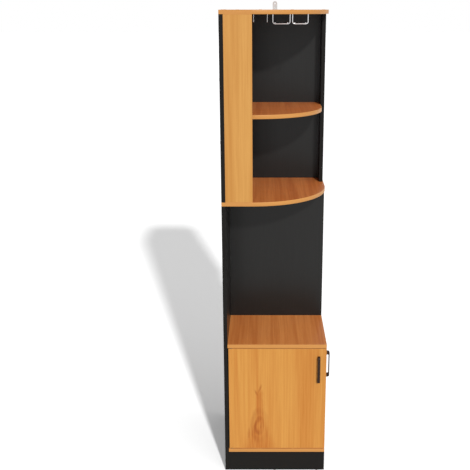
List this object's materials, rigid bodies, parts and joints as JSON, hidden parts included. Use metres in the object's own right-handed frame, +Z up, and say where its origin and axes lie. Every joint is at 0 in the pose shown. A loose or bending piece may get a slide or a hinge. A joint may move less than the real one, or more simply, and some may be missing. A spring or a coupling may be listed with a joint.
{
  "type": "corner bar cabinet",
  "caption": "Tall corner bar cabinet with a stemware rack, quarter-round shelves, an open niche and a low cupboard with a front door and a side door.",
  "frame": {"origin": "middle of the bounding box on the floor", "axes": "+Z up, -Y towards the front door, +X towards the side door"},
  "size_m": [0.416, 0.466, 1.832],
  "materials": {
    "wood_board": "honey cherry woodgrain laminate, satin",
    "black_board": "black laminate, fine matt grain",
    "raw_wood": "bare beech",
    "black_metal": "dark bronze satin paint",
    "chrome_wire": "polished",
    "zinc": "zinc plated",
    "dark_plastic": "moulded"
  },
  "bodies": {
    "cabinet": {"top_board": "wood_board", "mid_board": "wood_board", "upper_shelf": "wood_board", "counter_top": "wood_board", "bottom_board": "wood_board", "front_upper_panel": "wood_board", "left_lower_panel": "black_board", "left_upper_panel": "black_board", "back_lower_panel": "black_board", "back_upper_panel": "black_board", "right_upper_panel": "black_board", "front_plinth": "black_board", "side_plinth": "black_board", "plinth_corner_block": "raw_wood", "dowels": "raw_wood", "short_glass_rack": "chrome_wire", "middle_glass_rack": "chrome_wire", "right_glass_rack": "chrome_wire", "wall_bracket": "zinc", "wall_bracket_screws": "zinc", "top_board_screws": "zinc", "mid_board_screws": "zinc", "left_side_screws": "zinc", "back_screws": "zinc", "plinth_screws": "zinc", "catch_screws": "zinc", "shelf_pins": "zinc", "front_pivot_bushes": "dark_plastic", "side_pivot_bushes": "dark_plastic", "front_catch": "dark_plastic", "side_catch": "dark_plastic", "floor_glides": "dark_plastic"},
    "front_door_body": {"front_door": "wood_board", "front_handle": "black_metal", "front_handle_screws": "zinc", "front_pivot_pins": "zinc", "front_strike_plate": "zinc", "front_strike_screw": "zinc"},
    "side_door_body": {"side_door": "wood_board", "side_handle": "black_metal", "side_handle_screws": "zinc", "side_pivot_pins": "zinc", "side_strike_plate": "zinc", "side_strike_screw": "zinc"}
  },
  "joints": [
    {"name": "front_door_hinge", "type": "hinge", "parent": "cabinet", "child": "front_door_body", "pos_m": [-0.1798, -0.2095, 0.3205], "axis": [0, 0, -1], "range_deg": [0, 105]},
    {"name": "side_door_hinge", "type": "hinge", "parent": "cabinet", "child": "side_door_body", "pos_m": [0.1845, 0.0698, 0.3205], "axis": [0, 0, 1], "range_deg": [0, 105]}
  ]
}
